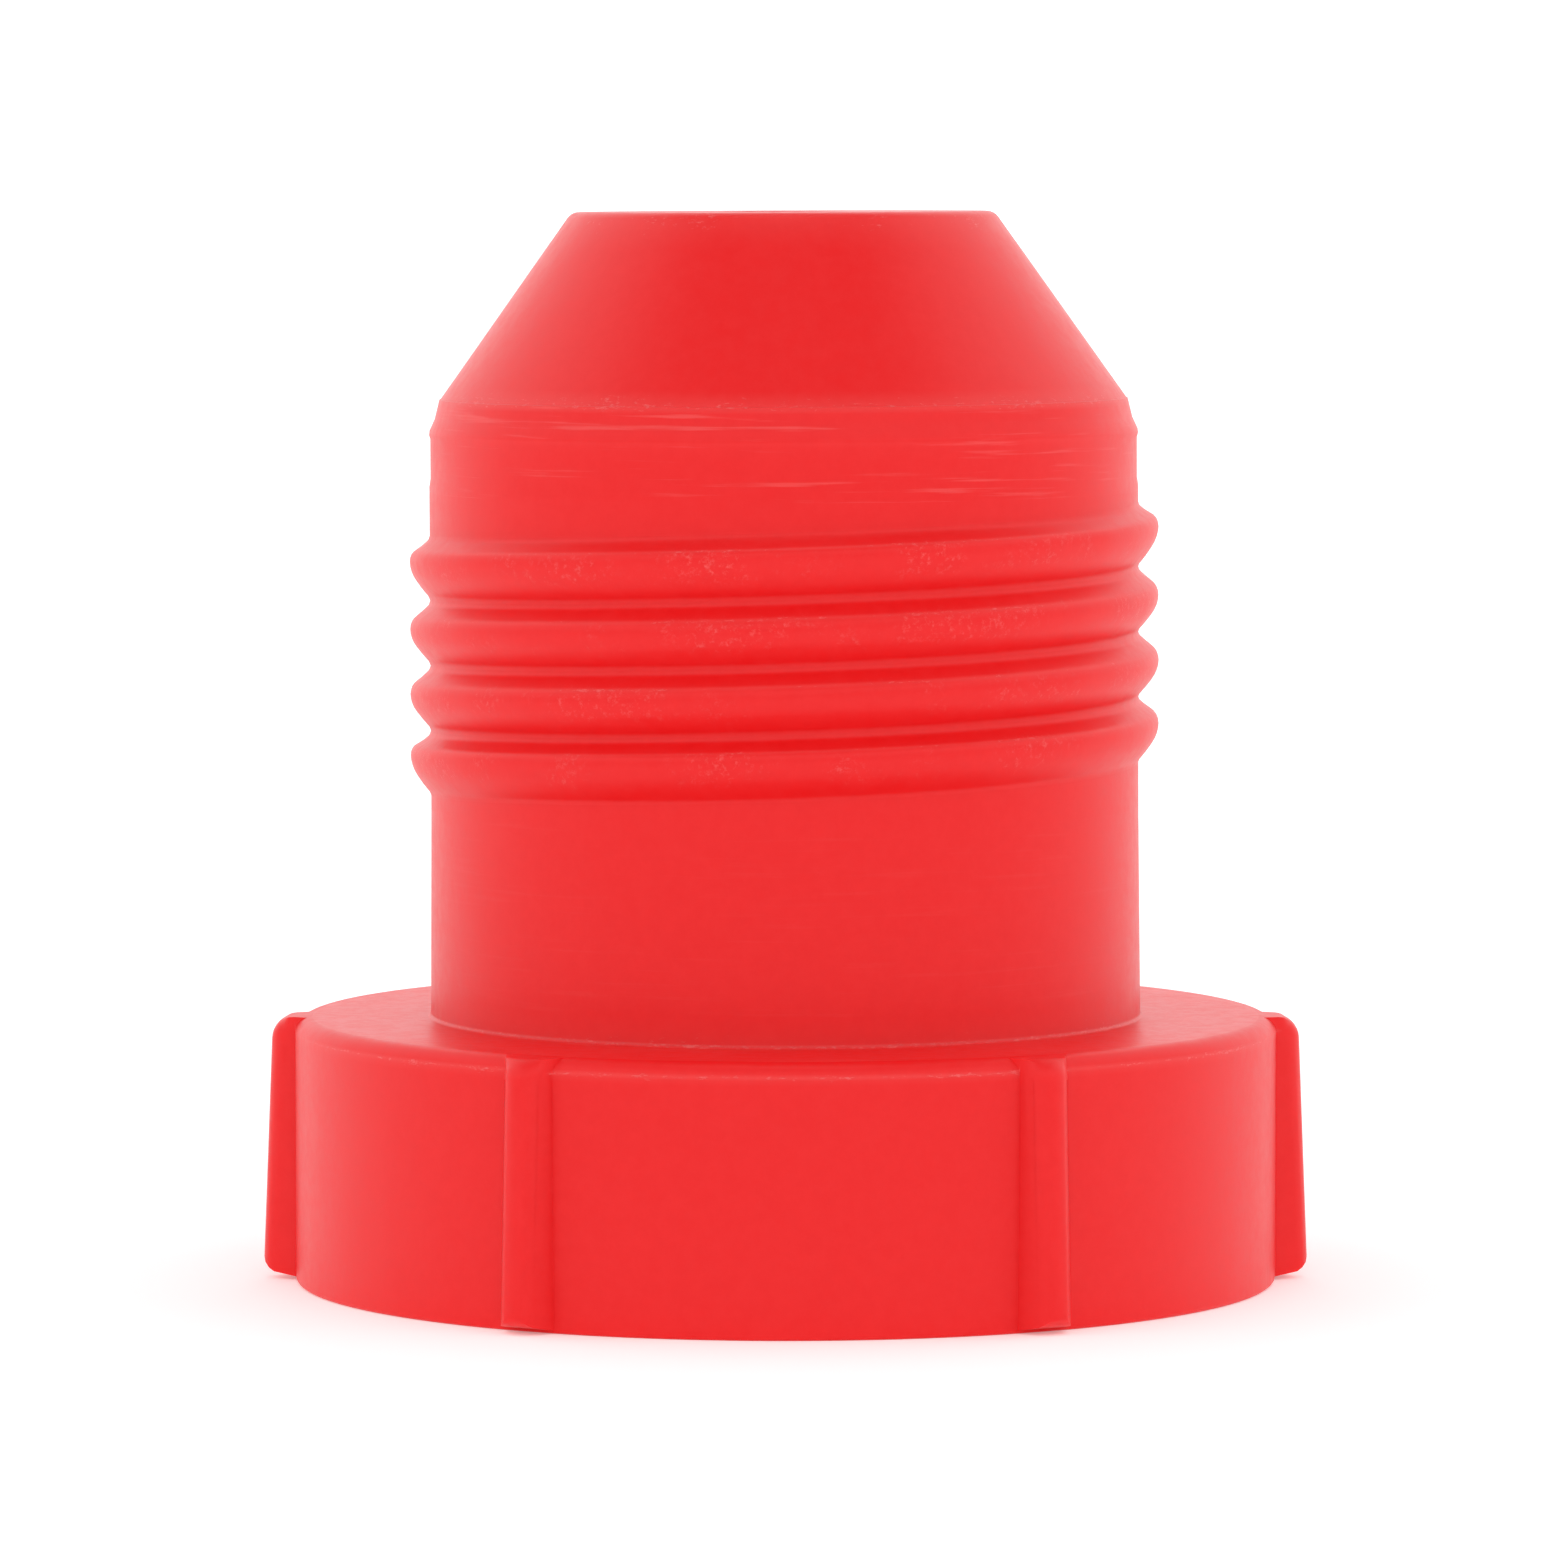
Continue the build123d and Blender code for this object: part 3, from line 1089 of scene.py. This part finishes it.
@dataclass(frozen=True)
class RedPolyethylene:
    """One finish of the red plastic: all share the resin and differ in polish, wear and painted highlight.
    """

    roughness: float
    grain_depth: float
    line_depth: float
    line_wear: float = 0.0
    # How strongly the painted edge highlights and scuffs show.
    highlight_and_scuff_share: float = 0.48
    nick_share: float = 0.35
    wave_depth: float = 0.020 * MM
    mottle_share: float = 0.5
    scuff_depth: float = 0.008 * MM
    nick_depth: float = 0.004 * MM
    mottle_roughness: float = 0.06
    worn_roughness: float = 0.2
    deep_red: tuple[float, float, float, float] = (0.80, 0.0080, 0.0092, 1.0)
    pale_red: tuple[float, float, float, float] = (0.83, 0.0150, 0.0160, 1.0)
    # One pale red for real wear and for painted highlights alike.
    wear_and_highlight_red: tuple[float, float, float, float] = (0.92, 0.24, 0.23, 1.0)
    grain_scale: float = 5200.0
    line_scale: float = 7000.0
    rub_scale: float = 4200.0
    ior: float = 1.51
    specular: float = 0.29
    depth_weight: float = 0.30
    depth_spread: tuple[float, float, float] = (1.0, 0.10, 0.08)
    depth_reach: float = 0.6 * MM

    def material(self, name: str, groups: dict[str, bpy.types.NodeTree]) -> bpy.types.Material:
        """Builds the material.

        Args:
            name: the material's name.
            groups: the shared effects by name.

        Returns:
            The material.
        """
        material = bpy.data.materials.new(name)
        material.use_nodes = True
        bench = NodeBench(material.node_tree)
        shader = material.node_tree.nodes["Principled BSDF"]
        shader.inputs["IOR"].default_value = self.ior
        shader.inputs["Specular IOR Level"].default_value = self.specular
        shader.inputs["Subsurface Weight"].default_value = self.depth_weight
        shader.inputs["Subsurface Radius"].default_value = self.depth_spread
        shader.inputs["Subsurface Scale"].default_value = self.depth_reach
        place = bench.add("ShaderNodeTexCoord").outputs["Object"]
        grain = self.effect(bench, groups["moulded_grain"], place, self.grain_scale)
        lines = self.effect(bench, groups["turning_lines"], place, self.line_scale)
        rub = self.effect(bench, groups["rubbed_spots"], place, self.rub_scale)
        # One attribute marks where a highlight is painted along edges, with scuffs; the other where the
        # crest takes real nicks.
        for wear, socket in (("rubbed_edge", "Edge"), ("stands_proud", "Proud")):
            layer = bench.add("ShaderNodeAttribute", attribute_name=wear)
            bench.link(layer.outputs["Fac"], rub.inputs[socket])
        scuffs = bench.math("MULTIPLY", rub.outputs["Scuffs"], self.highlight_and_scuff_share)
        nicks = bench.math("MULTIPLY", rub.outputs["Nicks"], self.nick_share)
        worn = bench.math("MULTIPLY", lines.outputs["Worn"], self.line_wear)
        # The pale marks join painted highlights with real scuffs, nicks and worn turning lines.
        marks = bench.math("MAXIMUM", bench.math("MAXIMUM", scuffs, nicks), worn)
        mottle = bench.math("MULTIPLY", grain.outputs["Mottle"], self.mottle_share)
        body = bench.mix(mottle, self.deep_red, self.pale_red)
        bench.link(bench.mix(marks, body, self.wear_and_highlight_red), shader.inputs["Base Color"])
        uneven = bench.math("MULTIPLY", grain.outputs["Mottle"], self.mottle_roughness)
        rough = bench.math("ADD", self.roughness, uneven)
        dulled = bench.math("MULTIPLY", marks, self.worn_roughness)
        bench.link(bench.math("ADD", rough, dulled), shader.inputs["Roughness"])
        normal = None
        for height, depth in (
            (grain.outputs["Waves"], self.wave_depth),
            (grain.outputs["Height"], self.grain_depth),
            (lines.outputs["Height"], self.line_depth),
            (rub.outputs["Scuffs"], -self.scuff_depth),
            (rub.outputs["Nicks"], -self.nick_depth),
        ):
            normal = self.bump(bench, height, depth, normal)
        bench.link(normal, shader.inputs["Normal"])
        return material

    def effect(self, bench: NodeBench, group: bpy.types.NodeTree, place: bpy.types.NodeSocket,
               scale: float) -> bpy.types.Node:
        """Places one shared effect in the material.

        Args:
            bench: the material's nodes.
            group: the effect.
            place: where its pattern is read.
            scale: the pattern's scale.

        Returns:
            The group's node.
        """
        node = bench.add("ShaderNodeGroup", node_tree=group)
        bench.link(place, node.inputs["Vector"])
        node.inputs["Scale"].default_value = scale
        return node

    def bump(self, bench: NodeBench, height: bpy.types.NodeSocket, depth: float,
             normal: bpy.types.NodeSocket | None) -> bpy.types.NodeSocket:
        """Adds a bump of a real depth over the bumps before it.

        Args:
            bench: the material's nodes.
            height: the pattern, from 0 to 1.
            depth: how deep it is, in metres; below 0 it is sunk.
            normal: the normal so far, or None.

        Returns:
            The new normal.
        """
        node = bench.add("ShaderNodeBump", invert=depth < 0)
        node.inputs["Distance"].default_value = abs(depth)
        bench.link(height, node.inputs["Height"])
        if normal is not None:
            bench.link(normal, node.inputs["Normal"])
        return node.outputs["Normal"]


FINISHES = {
    Finish.NOSE: RedPolyethylene(0.33, 0.0014 * MM, 0.0008 * MM),
    Finish.PILOT: RedPolyethylene(0.35, 0.0016 * MM, 0.0030 * MM, line_wear=0.20),
    Finish.THREAD: RedPolyethylene(0.36, 0.0024 * MM, 0.0008 * MM),
    Finish.SHANK: RedPolyethylene(0.35, 0.0018 * MM, 0.0014 * MM, line_wear=0.03),
    # Head top: the paler red and full mottle are painted light, lifting it out of the shade at the shank's
    # foot; its pale turning lines are real wear, set strong to lift it too.
    Finish.HEAD_TOP: RedPolyethylene(0.36, 0.0014 * MM, 0.0034 * MM, line_wear=0.20,
                                     deep_red=(0.82, 0.015, 0.016, 1.0), mottle_share=1.0),
    Finish.GRIP: RedPolyethylene(0.38, 0.0022 * MM, 0.0004 * MM),
    Finish.CORE: RedPolyethylene(0.46, 0.0036 * MM, 0.0010 * MM),
}


# ---------------------------------------------------------------------------------------------------------
# The plug
# ---------------------------------------------------------------------------------------------------------


@dataclass(frozen=True)
class HighlightAndScuffRing:
    """A ring round the plug with a painted highlight and scuffs."""

    radius: float
    height: float
    width: float
    share: float

    def nearness(self, radius: float, height: float) -> float:
        """How much painted highlight and scuffing a spot gets by being near the ring.

        Args:
            radius: the spot's distance from the axis.
            height: its height.

        Returns:
            The ring's share on the ring, falling to 0 beside it.
        """
        away = math.hypot(radius - self.radius, height - self.height)
        return self.share * smooth_share(1.5 - away / self.width)


@dataclass
class Plug:
    """The whole moulding as one closed shell."""

    head: Head
    shank: Shank
    thread: Thread
    nose: Nose
    core: Core = field(default_factory=Core)
    lathe: Lathe = field(default_factory=Lathe)
    ring_gap: float = 0.12 * MM
    lean: float = 0.2
    lean_height: float = 2.0 * MM

    @classmethod
    def from_frame(cls, frame: dict) -> "Plug":
        """Takes the plug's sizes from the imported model's box and mounts.


        Returns:
            The plug.
        """
        mounts = {mount["name"]: mount for mount in frame["record"]["mounts"]}
        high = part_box(CAD_NODE)[1]
        pilot_radius = mounts["pilot"]["dims"]["r_mm"] * MM
        cone = mounts["cone_seat"]["dims"]
        shank = Shank(radius=pilot_radius + SHANK_OVER_PILOT, pilot_radius=pilot_radius)
        head = Head(radius=high.y, height=mounts["head_shoulder"]["pos_m"][2], rib_tip_radius=RIB_TIP_RADIUS)
        ridge = mounts["thread"]
        thread = Thread(middle=ridge["pos_m"][2], crest_radius=ridge["dims"]["r_mm"] * MM,
                        shank_radius=shank.radius)
        nose = Nose(height=high.z, cone_radius=cone["r_mm"] * MM + CONE_FULLNESS,
                    cone_height=cone["length_mm"] * MM, pilot_radius=pilot_radius)
        return cls(head, shank, thread, nose)

    def build(self) -> bpy.types.Object:
        """Models the plug.

        Returns:
            The finished piece.
        """
        inside = self.core.outline(self.head, self.shank, self.nose)
        below = inside + self.head.outline(self.shank)
        below += self.shank.lower(below[-1].height, self.thread.low - self.ring_gap)
        above = self.shank.upper(self.thread.high + self.ring_gap, self.nose.bead_bottom)
        above += self.nose.outline()
        lower = self.lathe.turn("red_threaded_plug", below)
        upper = self.lathe.turn("nose", above)
        plug = join([lower, self.thread.strip(self.lathe.segments), upper])
        for height in (self.thread.low, self.thread.high):
            self.bridge(plug, height)
        face_outwards(plug)
        self.combine(plug, self.head.ribs(), "UNION")
        self.combine(plug, self.core.marks(self.head, self.shank), "DIFFERENCE")
        self.mark_highlights_and_wear(plug)
        self.dress(plug)
        self.lean_over(plug)
        return plug

    def bridge(self, plug: bpy.types.Object, height: float) -> None:
        """Joins the thread's flat ring to the ring of the shank beside it.

        Args:
            plug: the joined shells.
            height: the height of the thread's ring.
        """
        mesh = edit(plug, "EDGE")
        bpy.ops.mesh.select_all(action="DESELECT")
        for edge in mesh.edges:
            near = all(abs(vertex.co.z - height) < 1.5 * self.ring_gap for vertex in edge.verts)
            edge.select_set(edge.is_boundary and near)
        bpy.ops.mesh.bridge_edge_loops()
        leave_edit()

    def combine(self, plug: bpy.types.Object, other: bpy.types.Object, operation: str) -> None:
        """Unites another closed shell with the plug, or cuts it out of the plug.

        Args:
            plug: the closed shell.
            other: the other shell, which is used up.
            operation: UNION or DIFFERENCE.
        """
        face_outwards(other)
        modifier = plug.modifiers.new("combine", "BOOLEAN")
        modifier.operation = operation
        modifier.solver = "EXACT"
        modifier.object = other
        apply_modifiers(plug)
        bpy.data.objects.remove(other)

    def outer_radius(self, height: float) -> float:
        """The plug's outer radius at a height, without thread and ribs."""
        if height < self.head.height - self.core.head_wall / 2:
            return self.head.radius
        if height < self.nose.base:
            return self.shank.radius
        slope = tangent(self.nose.half_angle)
        return self.nose.cone_radius - (height - self.nose.base) * slope

    def finish_at(self, radius: float, height: float) -> Finish:
        """The finish of a spot on the plug.

        Args:
            radius: the spot's distance from the axis.
            height: its height.

        Returns:
            The finish.
        """
        skin = 0.02 * MM
        under_roof = height < self.nose.height - self.core.wall / 2
        if radius < self.outer_radius(height) - self.core.wall / 2 and under_roof:
            return Finish.CORE
        if height > self.nose.lower_edge.height - skin:
            return Finish.NOSE
        if height > self.thread.high:
            return Finish.PILOT
        if height > self.thread.low:
            return Finish.THREAD
        if height > self.head.height + skin:
            return Finish.SHANK
        flat = radius < self.head.radius - self.head.edge_round
        return Finish.HEAD_TOP if flat and height > self.head.height - skin else Finish.GRIP

    def rubbed_edge(self, place: Vector) -> float:
        """How near a spot is to an edge with a painted highlight and scuffs.

        Args:
            place: the spot.

        Returns:
            1 on an edge, falling to 0 beside it.
        """
        if self.thread.low < place.z < self.thread.high:
            return self.thread.shoulder(place)
        radius = math.hypot(place.x, place.y)
        return max(ring.nearness(radius, place.z) for ring in self.highlight_and_scuff_rings())

    def highlight_and_scuff_rings(self) -> list[HighlightAndScuffRing]:
        """The head's rim, the nose's edge, the cone's lower edge, the bead and the shank's foot."""
        # Each ring is a line of painted highlight, with some scuffing.
        head, nose = self.head, self.nose
        cone_foot = nose.lower_edge
        beside_nose = self.outer_radius(nose.height) + 0.10 * MM
        beside_foot = self.shank.foot_radius + 0.03 * MM
        return [
            HighlightAndScuffRing(head.radius - 0.03 * MM, head.height - 0.36 * MM, width=0.06 * MM, share=1.0),
            HighlightAndScuffRing(beside_nose, nose.height - 0.20 * MM, width=0.40 * MM, share=0.5),
            HighlightAndScuffRing(cone_foot.radius + nose.ledge, cone_foot.height, width=0.06 * MM, share=0.8),
            HighlightAndScuffRing(nose.pilot_radius, nose.base - nose.bead_drop, width=0.07 * MM, share=0.2),
            HighlightAndScuffRing(beside_foot, head.height + 0.03 * MM, width=0.07 * MM, share=1.0),
        ]

    def stands_proud(self, place: Vector) -> float:
        """How much a spot stands proud and gets knocked.

        Args:
            place: the spot.

        Returns:
            1 on the thread's crest, 0 on the plain faces.
        """
        if not self.thread.low < place.z < self.thread.high:
            return 0.0
        rise = math.hypot(place.x, place.y) - self.thread.shank_radius
        return smooth_share((rise / self.thread.height - 0.5) / 0.35)

    def mark_highlights_and_wear(self, plug: bpy.types.Object) -> None:
        """Stores each point's painted edge highlight and its wear on the mesh for the finishes to read.

        Args:
            plug: the finished shell.
        """
        for name, measure in (("rubbed_edge", self.rubbed_edge), ("stands_proud", self.stands_proud)):
            layer = plug.data.attributes.new(name, "FLOAT", "POINT")
            for vertex, value in zip(plug.data.vertices, layer.data):
                value.value = measure(vertex.co)

    def lean_over(self, plug: bpy.types.Object) -> None:
        """Leans everything above the head a little to one side.

        Args:
            plug: the finished shell.
        """
        foot = Vector((0, 0, self.head.height))
        for vertex in plug.data.vertices:
            share = smooth_share((vertex.co.z - foot.z) / self.lean_height)
            turn = Matrix.Rotation(math.radians(-self.lean * share), 3, "Y")
            vertex.co = foot + turn @ (vertex.co - foot)

    def dress(self, plug: bpy.types.Object) -> None:
        """Gives the shell its finishes and its smooth shading.

        Args:
            plug: the finished shell.
        """
        groups = {group.name: group for group in (moulded_grain(), turning_lines(), rubbed_spots())}
        plug.data.materials.clear()
        for finish in Finish:
            name = f"red_plastic_{finish.name.lower()}"
            plug.data.materials.append(FINISHES[finish].material(name, groups))
        for face in plug.data.polygons:
            place = face.center
            face.material_index = self.finish_at(math.hypot(place.x, place.y), place.z).value
        select_only(plug)
        bpy.ops.object.shade_smooth_by_angle(angle=math.radians(SMOOTH_BELOW_DEGREES))


# ---------------------------------------------------------------------------------------------------------
# Studio
# ---------------------------------------------------------------------------------------------------------


@dataclass
class Studio:
    """A white floor, a white tent of light round it, and the camera."""

    distance: float = 215 * MM
    eye_height: float = 27.2 * MM
    aim_height: float = 12.185 * MM
    sideways: float = -0.10 * MM
    lens: float = 203.0
    front_level: float = 0.65
    side_level: float = 0.83
    back_level: float = 1.40
    lamp_level: float = 1.34
    top_level: float = 0.10
    overhead_level: float = 1.5
    floor_glow: float = 0.22
    floor_size: float = 6.0

    def build(self) -> None:
        """Sets up the floor, the light and the camera."""
        self.add_floor()
        self.light_tent()
        self.add_camera()

    def add_floor(self) -> None:
        """A wide sheet of white paper under the plug, lit a little from below."""
        bpy.ops.object.select_all(action="DESELECT")
        bpy.ops.mesh.primitive_plane_add(size=self.floor_size)
        floor = bpy.context.object
        floor.name = "paper_floor"
        paper = bpy.data.materials.new("white_paper")
        paper.use_nodes = True
        shader = paper.node_tree.nodes["Principled BSDF"]
        shader.inputs["Base Color"].default_value = (0.95, 0.95, 0.95, 1)
        shader.inputs["Roughness"].default_value = 0.9
        shader.inputs["Specular IOR Level"].default_value = 0.1
        shader.inputs["Emission Color"].default_value = (1, 1, 1, 1)
        shader.inputs["Emission Strength"].default_value = self.floor_glow
        floor.data.materials.append(paper)

    def light_tent(self) -> None:
        """White light all round: lamps half way up, a dim top with one lamp overhead, a bright back."""
        world = bpy.data.worlds.new("tent")
        bpy.context.scene.world = world
        world.use_nodes = True
        bench = NodeBench(world.node_tree)
        background = world.node_tree.nodes["Background"]
        background.inputs["Color"].default_value = (1, 1, 1, 1)
        parts = bench.add("ShaderNodeSeparateXYZ")
        bench.link(bench.add("ShaderNodeTexCoord").outputs["Generated"], parts.inputs["Vector"])
        depth, height = parts.outputs["Y"], parts.outputs["Z"]
        level = self.grade(bench, bench.ramp(depth, -0.9, -0.1), self.front_level, self.side_level)
        level = self.grade(bench, bench.ramp(depth, 0.1, 0.8), level, self.back_level)
        level = self.grade(bench, bench.ramp(height, 0.12, 0.42), level, self.lamp_level)
        level = self.grade(bench, bench.ramp(height, 0.76, 0.92), level, self.top_level)
        level = self.grade(bench, bench.ramp(height, 0.95, 0.99), level, self.overhead_level)
        bench.link(level, background.inputs["Strength"])

    def grade(self, bench: NodeBench, share: bpy.types.NodeSocket, first: object,
              second: object) -> bpy.types.NodeSocket:
        """Goes over from one level of light to another.

        Args:
            bench: the world's nodes.
            share: how much of the second level.
            first: the first level.
            second: the second level.

        Returns:
            The level.
        """
        mixed = bench.add("ShaderNodeMix", data_type="FLOAT")
        bench.link(share, mixed.inputs[0])
        bench.feed(mixed.inputs[2], first)
        bench.feed(mixed.inputs[3], second)
        return mixed.outputs[0]

    def add_camera(self) -> None:
        """The camera, a little above the nose and looking slightly down."""
        data = bpy.data.cameras.new("camera")
        data.lens = self.lens
        data.sensor_width = 36.0
        data.clip_start = 0.01
        camera = bpy.data.objects.new("camera", data)
        bpy.context.scene.collection.objects.link(camera)
        place = Vector((self.sideways, -self.distance, self.eye_height))
        aim = Vector((self.sideways, 0, self.aim_height)) - place
        camera.matrix_world = Matrix.Translation(place) @ aim.to_track_quat("-Z", "Y").to_matrix().to_4x4()
        bpy.context.scene.camera = camera
        bpy.context.scene.view_settings.view_transform = "Standard"


def main() -> None:
    """Builds the plug and its studio, and reports each piece."""
    logging.basicConfig(level=logging.INFO)
    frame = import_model()
    plug = Plug.from_frame(frame)
    piece = plug.build()
    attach(piece, BODY)
    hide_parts(CAD_NODE)
    LOG.info("%s: %d faces", piece.name, len(piece.data.polygons))
    Studio().build()


if __name__ == "__main__":
    main()
